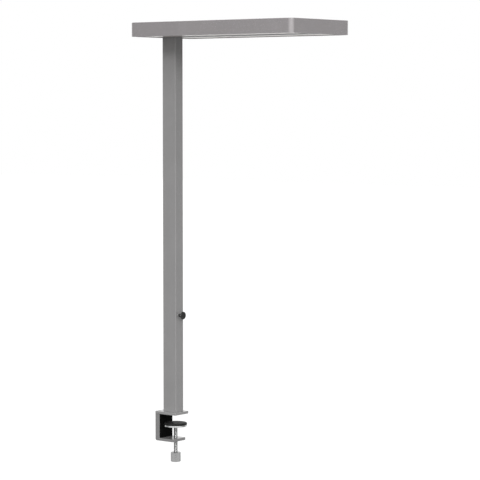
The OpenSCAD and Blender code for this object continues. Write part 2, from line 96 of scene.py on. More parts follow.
print("studio")
studioSettings = {
    "whiteHex": "#ffffff",
    "skyStrength": 0.62,
    "floorZ": -0.74,  # a desk's height below the desk top
    "floorSize": 60.0,
    "floorHex": "#878787",
    # what the floor adds for the camera so that it reads white, near the object and far from it
    "floorGlow": (0.80, 0.93),
    "floorGlowReach": (0.5, 6.0),
    # two upright black flags beside the set, seen only in a gloss: the way to one of them (the other
    # stands opposite), the cosines off that way between which they fade in, and how dark they are
    "flagDirection": (0.786, 0.618, 0.0),
    "flagEdge": (0.86, 0.985),
    "flagDepth": 0.82,
    "topLight": {"place": (0.4, -0.3, 3.4), "target": (0.2, 0, 0.6), "size": (3.2, 3.2), "watts": 40},
    "keyLight": {"place": (5.1, -5.3, 3.9), "target": (0.2, 0, 0.7), "size": (8.0, 1.3), "watts": 430},
}


def whiteForCamera(tree):
    # 1 for rays from the camera, off a gloss or through a clear piece, which see the white background
    path = addNode(tree, "ShaderNodeLightPath").outputs
    direct = addNode(tree, "ShaderNodeMath", {"operation": "MAXIMUM"},
                     {0: path["Is Camera Ray"], 1: path["Is Glossy Ray"]}).outputs[0]
    return addNode(tree, "ShaderNodeMath", {"operation": "MAXIMUM"},
                   {0: direct, 1: path["Is Transmission Ray"]}).outputs[0]


def besideFlags(tree, direction, settings):
    # 1, or less for a ray off a gloss that runs toward one of the two black flags
    flat = addNode(tree, "ShaderNodeVectorMath", {"operation": "MULTIPLY"},
                   {0: direction, 1: (1, 1, 0)}).outputs[0]
    level = addNode(tree, "ShaderNodeVectorMath", {"operation": "NORMALIZE"}, {0: flat}).outputs[0]
    sideways = addNode(tree, "ShaderNodeVectorMath", {"operation": "DOT_PRODUCT"},
                       {0: level, 1: settings["flagDirection"]}).outputs["Value"]
    either = addNode(tree, "ShaderNodeMath", {"operation": "ABSOLUTE"}, {0: sideways}).outputs[0]
    clear, full = settings["flagEdge"]
    flag = addNode(tree, "ShaderNodeMapRange", {"interpolation_type": "SMOOTHSTEP"},
                   {"Value": either, "From Min": clear, "From Max": full,
                    "To Min": 0.0, "To Max": settings["flagDepth"]}).outputs[0]
    gloss = addNode(tree, "ShaderNodeLightPath").outputs["Is Glossy Ray"]
    shade = addNode(tree, "ShaderNodeMath", {"operation": "MULTIPLY"}, {0: flag, 1: gloss}).outputs[0]
    return addNode(tree, "ShaderNodeMath", {"operation": "SUBTRACT"}, {0: 1.0, 1: shade}).outputs[0]


def makeWorld(settings):
    world = bpy.data.worlds.new("studioWorld")
    bpy.context.scene.world = world
    world.use_nodes = True
    tree = world.node_tree
    tree.nodes.clear()
    direction = addNode(tree, "ShaderNodeTexCoord").outputs["Generated"]
    colour = srgb(settings["whiteHex"])
    white = addNode(tree, "ShaderNodeBackground", None,
                    {"Color": colour, "Strength": besideFlags(tree, direction, settings)})
    sky = addNode(tree, "ShaderNodeBackground", None,
                  {"Color": colour, "Strength": settings["skyStrength"]})
    mix = addNode(tree, "ShaderNodeMixShader", None,
                  {0: whiteForCamera(tree), 1: sky.outputs[0], 2: white.outputs[0]})
    addNode(tree, "ShaderNodeOutputWorld", None, {"Surface": mix.outputs[0]})


def makeFloor(settings):
    half, z = settings["floorSize"] / 2, settings["floorZ"]
    mesh = bpy.data.meshes.new("studioFloor")
    mesh.from_pydata([(-half, -half, z), (half, -half, z), (half, half, z), (-half, half, z)],
                     [], [(0, 1, 2, 3)])
    floor = bpy.data.objects.new("studioFloor", mesh)
    bpy.context.scene.collection.objects.link(floor)
    material = bpy.data.materials.new("matt white studio sweep")
    material.use_nodes = True
    tree = material.node_tree
    tree.nodes.clear()
    place = addNode(tree, "ShaderNodeTexCoord").outputs["Object"]
    distance = addNode(tree, "ShaderNodeVectorMath", {"operation": "LENGTH"}, {0: place}).outputs["Value"]
    near, far = settings["floorGlowReach"]
    nearGlow, farGlow = settings["floorGlow"]
    glow = addNode(tree, "ShaderNodeMapRange", {"interpolation_type": "SMOOTHSTEP"},
                   {"Value": distance, "From Min": near, "From Max": far,
                    "To Min": nearGlow, "To Max": farGlow}).outputs[0]
    seen = addNode(tree, "ShaderNodeMath", {"operation": "MULTIPLY"},
                   {0: whiteForCamera(tree), 1: besideFlags(tree, place, settings)}).outputs[0]
    strength = addNode(tree, "ShaderNodeMath", {"operation": "MULTIPLY"}, {0: glow, 1: seen}).outputs[0]
    light = addNode(tree, "ShaderNodeEmission", None,
                    {"Color": srgb(settings["whiteHex"]), "Strength": strength})
    paper = addNode(tree, "ShaderNodeBsdfDiffuse", None, {"Color": srgb(settings["floorHex"])})
    both = addNode(tree, "ShaderNodeAddShader", None, {0: paper.outputs[0], 1: light.outputs[0]})
    addNode(tree, "ShaderNodeOutputMaterial", None, {"Surface": both.outputs[0]})
    mesh.materials.append(material)


def makeLight(name, settings):
    data = bpy.data.lights.new(name, "AREA")
    data.shape = "RECTANGLE"
    data.size, data.size_y = settings["size"]
    data.energy = settings["watts"]
    light = bpy.data.objects.new(name, data)
    light.location = settings["place"]
    aim = Vector(settings["target"]) - Vector(settings["place"])
    light.rotation_euler = aim.to_track_quat("-Z", "Y").to_euler()
    bpy.context.scene.collection.objects.link(light)


makeWorld(studioSettings)
makeFloor(studioSettings)
makeLight("topLight", studioSettings["topLight"])
makeLight("keyLight", studioSettings["keyLight"])
bpy.context.scene.view_settings.view_transform = "Standard"

print("materials")
noiseSpan = (0.3, 0.7)  # noise mostly keeps within this span, which is drawn out to that of the finish
noiseDetail = 2.0


def makeFinish(name, darkHex, lightHex, look):
    # a surface whose colour, gloss and relief follow noise; grainMm is the size of the grains in each
    # of the three, and a stretch below 1 draws them out along that axis
    material = bpy.data.materials.new(name)
    material.use_nodes = True
    tree = material.node_tree
    tree.nodes.clear()
    place = addNode(tree, "ShaderNodeTexCoord").outputs["Object"]
    scaled = addNode(tree, "ShaderNodeMapping", None,
                     {"Vector": place, "Scale": look.get("stretch", (1, 1, 1))}).outputs[0]
    noise = {}
    for sizeMm in dict.fromkeys(look["grainMm"]):
        noise[sizeMm] = addNode(tree, "ShaderNodeTexNoise", None, {
            "Vector": scaled, "Scale": 1 / mm(sizeMm), "Detail": noiseDetail}).outputs["Fac"]
    colour, gloss, relief = [noise[sizeMm] for sizeMm in look["grainMm"]]
    ramp = addNode(tree, "ShaderNodeValToRGB", None, {"Fac": colour})
    for element, position, code in zip(ramp.color_ramp.elements, noiseSpan, (darkHex, lightHex)):
        element.position = position
        element.color = srgb(code)
    rough = addNode(tree, "ShaderNodeMapRange", None, {
        "Value": gloss, "From Min": noiseSpan[0], "From Max": noiseSpan[1],
        "To Min": look["roughness"][0], "To Max": look["roughness"][1]})
    bump = addNode(tree, "ShaderNodeBump", None, {
        "Height": relief, "Distance": mm(look["reliefMm"]), "Strength": look["reliefStrength"]})
    surface = addNode(tree, "ShaderNodeBsdfPrincipled", None, {
        "Base Color": ramp.outputs[0], "Roughness": rough.outputs[0], "Normal": bump.outputs[0],
        **look["shader"]})
    addNode(tree, "ShaderNodeOutputMaterial", None, {"Surface": surface.outputs[0]})
    return material


# polyester powder coat with fine metal flakes, sprayed and baked: grey, with a shallow orange peel;
# its IOR is above a clear coat's 1.5, since the flakes under the skin send back light as well
satinCoat = {
    "grainMm": (60, 1.6, 1.6), "roughness": (0.22, 0.28), "reliefMm": 0.02, "reliefStrength": 0.25,
    "shader": {"IOR": 1.8, "Metallic": 0.25},
}
# the same with a clear top coat, which adds a crisp glint at the edges
glossCoat = {**satinCoat, "shader": {**satinCoat["shader"], "Coat Weight": 0.5, "Coat Roughness": 0.1}}
# the same in matt, without flakes: dull and even
mattCoat = {**satinCoat, "roughness": (0.57, 0.63), "shader": {"IOR": 1.8}}
# cast opal acrylic with a matt skin: soft white, barely glossy; the skin's grain is some ten times
# coarser than the real one, so that it shows
opalLook = {
    "grainMm": (0.8, 0.8, 0.8), "roughness": (0.2, 0.26), "reliefMm": 0.01, "reliefStrength": 0.4,
    "shader": {"IOR": 1.49, "Subsurface Weight": 0.4, "Subsurface Radius": (0.01, 0.01, 0.01)},
}
# moulded rubber: dull black with a faint grey bloom; its pores are drawn coarser than real, to show
rubberLook = {
    "grainMm": (14, 0.7, 0.7), "roughness": (0.5, 0.66), "reliefMm": 0.05, "reliefStrength": 0.5,
    "shader": {"IOR": 1.5, "Specular IOR Level": 0.3},
}
# closed-cell foam rubber: quite matt black; its cells are drawn three times coarser than real, to show
foamLook = {
    "grainMm": (0.9, 0.9, 0.9), "roughness": (0.8, 0.92), "reliefMm": 0.06, "reliefStrength": 0.6,
    "shader": {"IOR": 1.4, "Specular IOR Level": 0.12},
}
# polyamide from a spark-eroded mould: satin black; its craters are drawn coarser than real, to show
nylonLook = {
    "grainMm": (0.5, 0.5, 0.5), "roughness": (0.32, 0.44), "reliefMm": 0.03, "reliefStrength": 0.4,
    "shader": {"IOR": 1.53},
}
# plated or phosphated steel: bright or dark with slight clouds; its grain is drawn coarse, to show
steelLook = {
    "grainMm": (6, 6, 0.5), "roughness": (0.24, 0.34), "reliefMm": 0.01, "reliefStrength": 0.3,
    "shader": {"Metallic": 1.0},
}
# turned about an upright axis: grooves run round it, 0.5 mm apart where a fine feed leaves 0.1, to show
turnedLook = {
    "grainMm": (0.5, 0.5, 0.5), "roughness": (0.2, 0.3), "reliefMm": 0.02, "reliefStrength": 0.5,
    "stretch": (0.04, 0.04, 1), "shader": {"Metallic": 1.0},
}


def innerLook(roughness, grainMm, metallic=0.0):
    # inner pieces: a plain, even grain with nothing special to show, a little rougher here and there
    return {
        "grainMm": (grainMm, grainMm, grainMm), "roughness": (roughness - 0.05, roughness + 0.05),
        "reliefMm": 0.01, "reliefStrength": 0.3, "shader": {"Metallic": metallic},
    }


paintedAluminium = makeFinish("powder-coated aluminium housing", "#9f9b9c", "#a39fa0", satinCoat)
paintedTube = makeFinish("powder-coated aluminium tube", "#9f9e9e", "#a3a2a2", satinCoat)
# the centre bar's grey is darker than the housing's, though it is the same coat: painted shade, for the
# shade on the head's underside
shadedProfileCoat = makeFinish("matt powder-coated aluminium profile", "#7a7778", "#7e7b7c", mattCoat)
paintedPlate = makeFinish("powder-coated steel plate", "#a1a0a0", "#a5a4a4", glossCoat)
# the bracket's grey is darker than the plate's: painted shade, for the shade under the foot plate's
# overhang and beside the black liner
shadedBracketCoat = makeFinish("powder-coated steel bracket, darkened as painted shade", "#919090", "#959494", glossCoat)
opalAcrylic = makeFinish("opal acrylic sheet", "#f3ebe3", "#f9f1e9", opalLook)
rubberBlack = makeFinish("moulded black EPDM rubber", "#080808", "#0f0f0f", rubberLook)
neopreneBlack = makeFinish("die-cut black neoprene", "#050504", "#090908", foamLook)
nylonBlack = makeFinish("moulded black polyamide", "#0f0f0f", "#171717", nylonLook)
steelZinc = makeFinish("zinc-plated steel", "#bfc1c2", "#cfcfcc", steelLook)
steelDark = makeFinish("phosphated steel rod, oiled", "#a5a6a6", "#b3b3b2", steelLook)
aluminiumTurned = makeFinish("fine-turned aluminium", "#a0a0a0", "#b0b0b0", turnedLook)
# rolled and milled aluminium: dull silver, the milled one a little brighter in its gloss
aluminiumSheet = makeFinish("mill-finish aluminium sheet", "#a4a5a6", "#b2b3b4", innerLook(0.35, 2.0, 1.0))
aluminiumMilled = makeFinish("milled aluminium block", "#9c9d9e", "#adaeaf", innerLook(0.3, 1.2, 1.0))
# baked, printed and moulded whites: clean and soft, without a clear gloss
reflectorWhite = makeFinish("white polyester-coated reflector sheet", "#eeeeec", "#f4f4f2",
                            innerLook(0.5, 1.0))
boardWhite = makeFinish("white solder mask on a circuit board", "#e6e8e5", "#eef0ed", innerLook(0.3, 1.5))
terminalPlastic = makeFinish("moulded natural polycarbonate", "#d4d4cb", "#dcdcd4", innerLook(0.4, 0.8))
driverPlastic = makeFinish("moulded white polycarbonate case", "#dededc", "#e6e6e4", innerLook(0.45, 0.8))
# cast silicone with phosphor in it: warm yellow; extruded sheath: dull black
ledPhosphor = makeFinish("phosphor-filled silicone lens", "#e5cf72", "#edd983", innerLook(0.25, 0.5))
cableSheath = makeFinish("extruded black PVC sheath", "#161616", "#1d1d1d", innerLook(0.5, 1.0))

# the nodes that keep their CAD mesh; those not named here are screws and nuts, with zinc on them
nodeMaterials = {
    "centre_bar": shadedProfileCoat, "diffuser_front": opalAcrylic, "diffuser_rear": opalAcrylic,
    "reflector_front": reflectorWhite, "reflector_rear": reflectorWhite,
    "led_board_front": boardWhite, "led_board_rear": boardWhite, "leds": ledPhosphor,
    "carrier_plate": aluminiumSheet, "head_spigot": aluminiumMilled, "pole_insert": aluminiumMilled,
    "led_driver": driverPlastic, "head_terminal": terminalPlastic, "mains_terminal": terminalPlastic,
    "switch_plunger": terminalPlastic, "driver_lead": cableSheath, "mains_lead": cableSheath,
    "dimmer_lead": cableSheath, "dimmer_body": nylonBlack,
}
for nodeName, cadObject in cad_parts.items():
    cadObject.data.materials.clear()
    cadObject.data.materials.append(nodeMaterials.get(nodeName, steelZinc))

print("shape tools")
sharpDegrees = 40  # an edge that turns more than this stays crisp
leastCornerMm = 0.05  # of a ring that is drawn in past its corner's radius
overshootMm = 1.0  # how far a cutter runs past the face that it cuts
holeSides = 48
smallHoleSides = 32


def middle(node, axis):
    # the centre of a node's box along an axis
    low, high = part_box(node)
    return (low[axis] + high[axis]) / 2


def extentMm(node, axis):
    # how long a node's box is along an axis, in millimetres
    low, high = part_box(node)
    return (high[axis] - low[axis]) * 1000


def footOf(node):
    # where the axis of a round piece that stands along Z leaves its lower end
    return middle(node, 0), 0.0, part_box(node)[0][2]


def rearOf(node):
    # where the axis of a round piece that lies along X leaves its rear end
    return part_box(node)[0][0], 0.0, middle(node, 2)


def roundCorners(points, radii, closed=False, steps=4):
    # an outline with its corners rounded; a corner of radius 0, or at an open end, stays sharp
    result = []
    for i, (point, radius) in enumerate(zip(points, radii)):
        if radius == 0 or (not closed and i in (0, len(points) - 1)):
            result.append(tuple(point))
            continue
        here = Vector(point)
        before = (Vector(points[i - 1]) - here).normalized()
        after = (Vector(points[(i + 1) % len(points)]) - here).normalized()
        half = before.angle(after) / 2
        centre = here + (before + after).normalized() * radius / math.sin(half)
        start = here + before * radius / math.tan(half) - centre
        end = here + after * radius / math.tan(half) - centre
        turn = math.pi - 2 * half
        for step in range(steps + 1):
            t = step / steps
            arm = start * math.sin((1 - t) * turn) + end * math.sin(t * turn)
            result.append(tuple(centre + arm / math.sin(turn)))
    return result


def boxRing(corners, inset, radius, z, perCorner):
    # points round a box's outline drawn in by an inset, anticlockwise from above
    (x0, y0), (x1, y1) = [corner[:2] for corner in corners]
    r = max(radius - inset, mm(leastCornerMm))
    ring = []
    for cx, cy, first in ((x1 - inset - r, y1 - inset - r, 0), (x0 + inset + r, y1 - inset - r, 90),
                          (x0 + inset + r, y0 + inset + r, 180), (x1 - inset - r, y0 + inset + r, 270)):
        for step in range(perCorner + 1):
            angle = math.radians(first + 90 * step / perCorner)
            ring.append((cx + r * math.cos(angle), cy + r * math.sin(angle), z))
    return ring


def stackRings(rings, closed=False):
    # a skin over rings of equal count: capped at both ends, or joined into a loop
    count = len(rings[0])
    points = [point for ring in rings for point in ring]
    faces = []
    for i in range(len(rings) if closed else len(rings) - 1):
        low, high = i * count, (i + 1) % len(rings) * count
        for k in range(count):
            n = (k + 1) % count
            faces.append((low + k, low + n, high + n, high + k))
    if not closed:
        faces.append(tuple(reversed(range(count))))
        faces.append(tuple(range(len(points) - count, len(points))))
    return points, faces


def borer(place, axis, steps, sides=holeSides):
    # a cutter for a round hole: cones along an axis, given as (distance, radius) from its start
    turn = Vector((0, 0, 1)).rotation_difference(Vector(axis)).to_matrix()
    angles = [2 * math.pi * k / sides for k in range(sides)]
    rings = []
    for distance, radius in steps:
        ring = [Vector((radius * math.cos(angle), radius * math.sin(angle), distance)) for angle in angles]
        rings.append([tuple(Vector(place) + turn @ point) for point in ring])
    return stackRings(rings)


def rod(place, axis, start, end, radius, sides=holeSides):
    # a stud, or the cutter for a straight hole, from start to end along an axis
    return borer(place, axis, [(start, radius), (end, radius)], sides)


def blockShape(low, high):
    (x0, y0, z0), (x1, y1, z1) = low, high
    return stackRings([[(x0, y0, z), (x1, y0, z), (x1, y1, z), (x0, y1, z)] for z in (z0, z1)])


def newObject(name, shapes):
    points, faces = [], []
    for shapePoints, shapeFaces in shapes:
        faces += [tuple(index + len(points) for index in face) for face in shapeFaces]
        points += shapePoints
    mesh = bpy.data.meshes.new(name)
    mesh.from_pydata(points, [], faces)
    piece = bpy.data.objects.new(name, mesh)
    bpy.context.scene.collection.objects.link(piece)
    return piece


def settle(piece):
    # the piece keeps the mesh that its modifiers make
    graph = bpy.context.evaluated_depsgraph_get()
    mesh = bpy.data.meshes.new_from_object(piece.evaluated_get(graph))
    piece.modifiers.clear()
    piece.data = mesh


def bevelEdges(piece, widthMm, segments=3):
    bevel = piece.modifiers.new("edges", "BEVEL")
    bevel.width = mm(widthMm)
    bevel.segments = segments
    bevel.limit_method = "ANGLE"
    bevel.angle_limit = math.radians(sharpDegrees)
    settle(piece)


def cutAway(piece, cutters):
    # one cutter at a time, which keeps the skin closed
    for cutter in cutters:
        tool = newObject("cutter", [cutter])
        cut = piece.modifiers.new("cut", "BOOLEAN")
        cut.operation = "DIFFERENCE"
        cut.solver = "MANIFOLD"
        cut.object = tool
        settle(piece)
        bpy.data.objects.remove(tool)


def dress(piece, material, body, node):
    # finish, soft shading over small edges, and the CAD node that the piece stands for
    mesh = piece.data
    mesh.materials.clear()
    mesh.materials.append(material)
    mesh.polygons.foreach_set("material_index", [0] * len(mesh.polygons))
    mesh.shade_smooth()
    mesh.set_sharp_from_angle(angle=math.radians(sharpDegrees))
    normals = piece.modifiers.new("normals", "WEIGHTED_NORMAL")
    normals.keep_sharp = True
    settle(piece)
    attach(piece, body)
    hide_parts(node)


def screwSpots(node, screw, level):
    # the centres of a node's screws that stand along Z, from the corners of its box; the rounding makes
    # one spot of two that meet where the screws stand in a single row
    headRadius = mm(screw["headRadius"])
    low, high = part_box(node)
    xs, ys = [sorted({round(low[axis] + headRadius, 4), round(high[axis] - headRadius, 4)})
              for axis in (0, 1)]
    return [(x, y, level) for x in xs for y in ys]


def sinkSteps(screw):
    # the countersunk hole for a screw, from past its tip up to above its head
    gap = mm(screw["gap"])
    head, shank, length = [mm(screw[key]) for key in ("headRadius", "shankRadius", "length")]
    return [(-length - gap, shank + gap), (shank - head, shank + gap), (0, head + gap),
            (mm(overshootMm), head + gap)]


print("geometry node trees")
crestShare, rootShare = 1 / 8, 1 / 4  # of a thread's pitch that stay flat
weldMm = 0.002  # points closer than this are joined at the seam and on the axis


def startTree(name, sockets):
    tree = bpy.data.node_groups.new(name, "GeometryNodeTree")
    tree.interface.new_socket("Geometry", in_out="OUTPUT", socket_type="NodeSocketGeometry")
    for label, kind in {"Geometry": "Geometry", **sockets, "Finish": "Material"}.items():
        tree.interface.new_socket(label, in_out="INPUT", socket_type="NodeSocket" + kind)
    return tree, addNode(tree, "NodeGroupInput").outputs


def endTree(tree, given, geometry):
    real = addNode(tree, "GeometryNodeRealizeInstances", None, {"Geometry": geometry})
    painted = addNode(tree, "GeometryNodeSetMaterial", None,
                      {"Geometry": real.outputs[0], "Material": given["Finish"]})
    addNode(tree, "NodeGroupOutput", None, {"Geometry": painted.outputs[0]})
    return tree


def grow(name, tree, source, values):
    # an object with the plain mesh that a tree makes of the source mesh
    piece = bpy.data.objects.new(name, source)
    bpy.context.scene.collection.objects.link(piece)
    modifier = piece.modifiers.new("grow", "NODES")
    modifier.node_group = tree
    for item in tree.interface.items_tree:
        if item.in_out == "INPUT" and item.name in values:
            modifier[item.identifier] = values[item.name]
    settle(piece)
    return piece


def makeTurnedTree():
    # a section of (radius, height) points swept round an axis, with ribs or a thread cut in its side
    tree, given = startTree("turnedPiece", {
        "Segments": "Int", "Ribs": "Int", "Rib Depth": "Float", "Thread Pitch": "Float",
        "Thread Depth": "Float", "Turn": "Vector", "Centre": "Vector"})
    segments, section = given["Segments"], given["Geometry"]

    # a grid with a row for each point of the section and a column for each step round
    rows = addNode(tree, "GeometryNodeAttributeDomainSize", None, {0: section}).outputs["Point Count"]
    columns = addNode(tree, "ShaderNodeMath", {"operation": "ADD"}, {0: segments, 1: 1.0}).outputs[0]
    grid = addNode(tree, "GeometryNodeMeshGrid", None,
                   {"Vertices X": columns, "Vertices Y": rows}).outputs[0]
    index = addNode(tree, "GeometryNodeInputIndex").outputs[0]
    row = addNode(tree, "ShaderNodeMath", {"operation": "MODULO"}, {0: index, 1: rows}).outputs[0]
    part = addNode(tree, "ShaderNodeMath", {"operation": "DIVIDE"}, {0: index, 1: rows}).outputs[0]
    column = addNode(tree, "ShaderNodeMath", {"operation": "FLOOR"}, {0: part}).outputs[0]
    lap = addNode(tree, "ShaderNodeMath", {"operation": "DIVIDE"}, {0: column, 1: segments}).outputs[0]
    angle = addNode(tree, "ShaderNodeMath", {"operation": "MULTIPLY"},
                    {0: lap, 1: 2 * math.pi}).outputs[0]

    # what the section says of each row: its radius and height, and how much of a cut it takes
    position = addNode(tree, "GeometryNodeInputPosition").outputs[0]
    sampled = addNode(tree, "GeometryNodeSampleIndex", {"data_type": "FLOAT_VECTOR"},
                      {"Geometry": section, "Value": position, "Index": row}).outputs[0]
    outline = addNode(tree, "ShaderNodeSeparateXYZ", None, {0: sampled}).outputs
    wrought = addNode(tree, "GeometryNodeInputNamedAttribute", {"data_type": "FLOAT"},
                      {"Name": "wrought"}).outputs[0]
    share = addNode(tree, "GeometryNodeSampleIndex", {"data_type": "FLOAT"},
                    {"Geometry": section, "Value": wrought, "Index": row}).outputs[0]

    ribAngle = addNode(tree, "ShaderNodeMath", {"operation": "MULTIPLY"},
                       {0: angle, 1: given["Ribs"]}).outputs[0]
    wave = addNode(tree, "ShaderNodeMath", {"operation": "COSINE"}, {0: ribAngle}).outputs[0]
    ribCut = addNode(tree, "ShaderNodeMapRange", None,
                     {"Value": wave, "From Min": 1.0, "From Max": -1.0, "To Min": 0.0,
                      "To Max": given["Rib Depth"]}).outputs[0]

    # the height in pitches, less the share of a lap, runs from one crest to the next
    climb = addNode(tree, "ShaderNodeMath", {"operation": "DIVIDE"},
                    {0: outline["Z"], 1: given["Thread Pitch"]}).outputs[0]
    phase = addNode(tree, "ShaderNodeMath", {"operation": "SUBTRACT"}, {0: climb, 1: lap}).outputs[0]
    flank = addNode(tree, "ShaderNodeMath", {"operation": "PINGPONG"}, {0: phase, 1: 0.5}).outputs[0]
    threadCut = addNode(tree, "ShaderNodeMapRange", None,
                        {"Value": flank, "From Min": crestShare / 2, "From Max": (1 - rootShare) / 2,
                         "To Min": 0.0, "To Max": given["Thread Depth"]}).outputs[0]

    cut = addNode(tree, "ShaderNodeMath", {"operation": "ADD"}, {0: ribCut, 1: threadCut}).outputs[0]
    taken = addNode(tree, "ShaderNodeMath", {"operation": "MULTIPLY"}, {0: cut, 1: share}).outputs[0]
    radius = addNode(tree, "ShaderNodeMath", {"operation": "SUBTRACT"},
                     {0: outline["X"], 1: taken}).outputs[0]
    cosine = addNode(tree, "ShaderNodeMath", {"operation": "COSINE"}, {0: angle}).outputs[0]
    sine = addNode(tree, "ShaderNodeMath", {"operation": "SINE"}, {0: angle}).outputs[0]
    x = addNode(tree, "ShaderNodeMath", {"operation": "MULTIPLY"}, {0: radius, 1: cosine}).outputs[0]
    y = addNode(tree, "ShaderNodeMath", {"operation": "MULTIPLY"}, {0: radius, 1: sine}).outputs[0]
    spot = addNode(tree, "ShaderNodeCombineXYZ", None, {"X": x, "Y": y, "Z": outline["Z"]}).outputs[0]
    swept = addNode(tree, "GeometryNodeSetPosition", None, {"Geometry": grid, "Position": spot}).outputs[0]
    sewn = addNode(tree, "GeometryNodeMergeByDistance", None,
                   {"Geometry": swept, "Distance": mm(weldMm)}).outputs[0]
    placed = addNode(tree, "GeometryNodeTransform", None, {
        "Geometry": sewn, "Translation": given["Centre"], "Rotation": given["Turn"]}).outputs[0]
    return endTree(tree, given, placed)


def makeRowTree():
    # one piece at every point of the source, all turned alike
    tree, given = startTree("rowOfPieces", {"Piece": "Object", "Turn": "Vector"})
    piece = addNode(tree, "GeometryNodeObjectInfo", None, {"Object": given["Piece"]}).outputs["Geometry"]
    row = addNode(tree, "GeometryNodeInstanceOnPoints", None,
                  {"Points": given["Geometry"], "Instance": piece, "Rotation": given["Turn"]}).outputs[0]
    return endTree(tree, given, row)


turnedTree = makeTurnedTree()
rowTree = makeRowTree()


def section(corners, steps=3):
    # half a turned piece's outline, from (radius, height, rounding) corners in millimetres
    points = [(mm(radius), mm(height)) for radius, height, rounding in corners]
    return roundCorners(points, [mm(rounding) for radius, height, rounding in corners], steps=steps)


def turned(name, outline, values, wrought=None):
    # an outline swept round; wrought says how much of the ribs or thread each point takes, 0 to 1
    mesh = bpy.data.meshes.new(name)
    mesh.from_pydata([(radius, 0, height) for radius, height in outline], [], [])
    share = mesh.attributes.new("wrought", "FLOAT", "POINT")
    share.data.foreach_set("value", wrought or [0] * len(outline))
    smooth = {"Segments": 96, "Ribs": 0, "Rib Depth": 0.0, "Thread Pitch": 0.0, "Thread Depth": 0.0,
              "Turn": (0.0, 0.0, 0.0), "Centre": (0.0, 0.0, 0.0), "Finish": steelZinc}
    return grow(name, turnedTree, mesh, {**smooth, **values})


def ribbedKnob(name, start, side, end, settings, values):
    # a turned knob with ribs along its side, which run out in its smooth start and end
    outline = start + [(mm(radius), mm(height)) for radius, height in side] + end
    wrought = [0] * len(start) + [1] * len(side) + [0] * len(end)
    ribs = {"Segments": settings["ribs"] * settings["stepsPerRib"], "Ribs": settings["ribs"],
            "Rib Depth": mm(settings["ribDepth"])}
    return turned(name, outline, {**ribs, **values}, wrought)


screwSettings = {"segments": 48, "tipRounding": 0.3, "rimRounding": 0.15, "socketSides": 6}


def screws(name, node, spots, screw, turn):
    # countersunk screws with a hexagon socket, their shanks along -Z before the turn
    head, shank, length = [screw[key] for key in ("headRadius", "shankRadius", "length")]
    tip, rim = screwSettings["tipRounding"], screwSettings["rimRounding"]
    outline = section([(0, -length, 0), (shank, -length, tip), (shank, shank - head, 0), (head, 0, rim),
                       (0, 0, 0)])
    blank = turned("screwBlank", outline, {"Segments": screwSettings["segments"]})
    cutAway(blank, [rod((0, 0, 0), (0, 0, 1), -mm(screw["socketDepth"]), mm(overshootMm),
                        mm(screw["socketRadius"]), screwSettings["socketSides"])])
    mesh = bpy.data.meshes.new(name)
    mesh.from_pydata(spots, [], [])
    piece = grow(name, rowTree, mesh, {"Piece": blank, "Turn": turn, "Finish": steelZinc})
    bpy.data.objects.remove(blank)
    dress(piece, steelZinc, "lamp", node)


quarterTurn = math.pi / 2
upright = (0.0, 0.0, 0.0)
upsideDown = (2 * quarterTurn, 0.0, 0.0)
alongX = (0.0, quarterTurn, 0.0)
againstX = (0.0, -quarterTurn, 0.0)

print("head shell")
headSettings = {
    "wall": 2.5, "cornerRadius": 14, "perCorner": 14,
    "lowerEdge": 0.35, "upperEdge": 0.8,  # how far the painted edges are rounded
    # the studs that the carrier plate hangs on: two under the end nuts, one past the driver
    "studRadius": 2.0, "studPast": 1.0, "studSides": 24, "nutRadius": 4.0, "nutAfterDriver": 12.0,
    "screwLevel": -0.1,  # of a screw's face, from the head's top
    "screw": {"headRadius": 4.8, "shankRadius": 2.5, "length": 9.5, "socketRadius": 1.75,
              "socketDepth": 2.2, "gap": 0.1},
}


def makeHeadShell(settings):
    low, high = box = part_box("head_housing")
    wall, lower, upper = mm(settings["wall"]), mm(settings["lowerEdge"]), mm(settings["upperEdge"])
    # insets from the box: down the inside, round the lower edge and up the outside, capped at both ends
    outline = roundCorners(
        [(wall, high[2] - wall), (wall, low[2]), (0, low[2]), (0, high[2]), (2 * upper, high[2])],
        [0, lower, lower, upper, 0])
    shell = stackRings([boxRing(box, inset, mm(settings["cornerRadius"]), z, settings["perCorner"])
                        for inset, z in outline])
    nutLow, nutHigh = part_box("carrier_nuts")
    nutRadius, driverEnd = mm(settings["nutRadius"]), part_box("led_driver")[1][0]
    studXs = [nutLow[0] + nutRadius, driverEnd + mm(settings["nutAfterDriver"]), nutHigh[0] - nutRadius]
    studFoot = nutLow[2] - mm(settings["studPast"])
    studHeight = high[2] - wall / 2 - studFoot
    studRadius, studSides = mm(settings["studRadius"]), settings["studSides"]
    studs = [rod((x, 0, studFoot), (0, 0, 1), 0, studHeight, studRadius, studSides) for x in studXs]
    piece = newObject("headShell", [shell] + studs)
    screw = settings["screw"]
    spots = screwSpots("head_screws", screw, high[2] + mm(settings["screwLevel"]))
    cutAway(piece, [borer(spot, (0, 0, 1), sinkSteps(screw)) for spot in spots])
    dress(piece, paintedAluminium, "lamp", "head_housing")
    screws("headScrews", "head_screws", spots, screw, upright)


makeHeadShell(headSettings)

print("optic frame")
opticSettings = {"outerInset": 2.8, "upstandInset": 4.0, "lipInset": 6.3, "lipHeight": 1.8, "edge": 0.3,
                 "perCorner": 10}


def makeOpticFrame(settings):
    # an L in section: a lip that shows from below and an upstand against the housing's wall
    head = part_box("head_housing")
    low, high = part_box("optic_frame")
    outer, upstand, lip = [mm(settings[key]) for key in ("outerInset", "upstandInset", "lipInset")]
    seat = low[2] + mm(settings["lipHeight"])
    corners = [(lip, low[2]), (outer, low[2]), (outer, high[2]), (upstand, high[2]), (upstand, seat),
               (lip, seat)]
    outline = roundCorners(corners, [mm(settings["edge"])] * len(corners), closed=True, steps=2)
    rings = [boxRing(head, inset, mm(headSettings["cornerRadius"]), z, settings["perCorner"])
             for inset, z in outline]
    piece = newObject("opticFrame", [stackRings(rings, closed=True)])
    dress(piece, paintedAluminium, "lamp", "optic_frame")


makeOpticFrame(opticSettings)

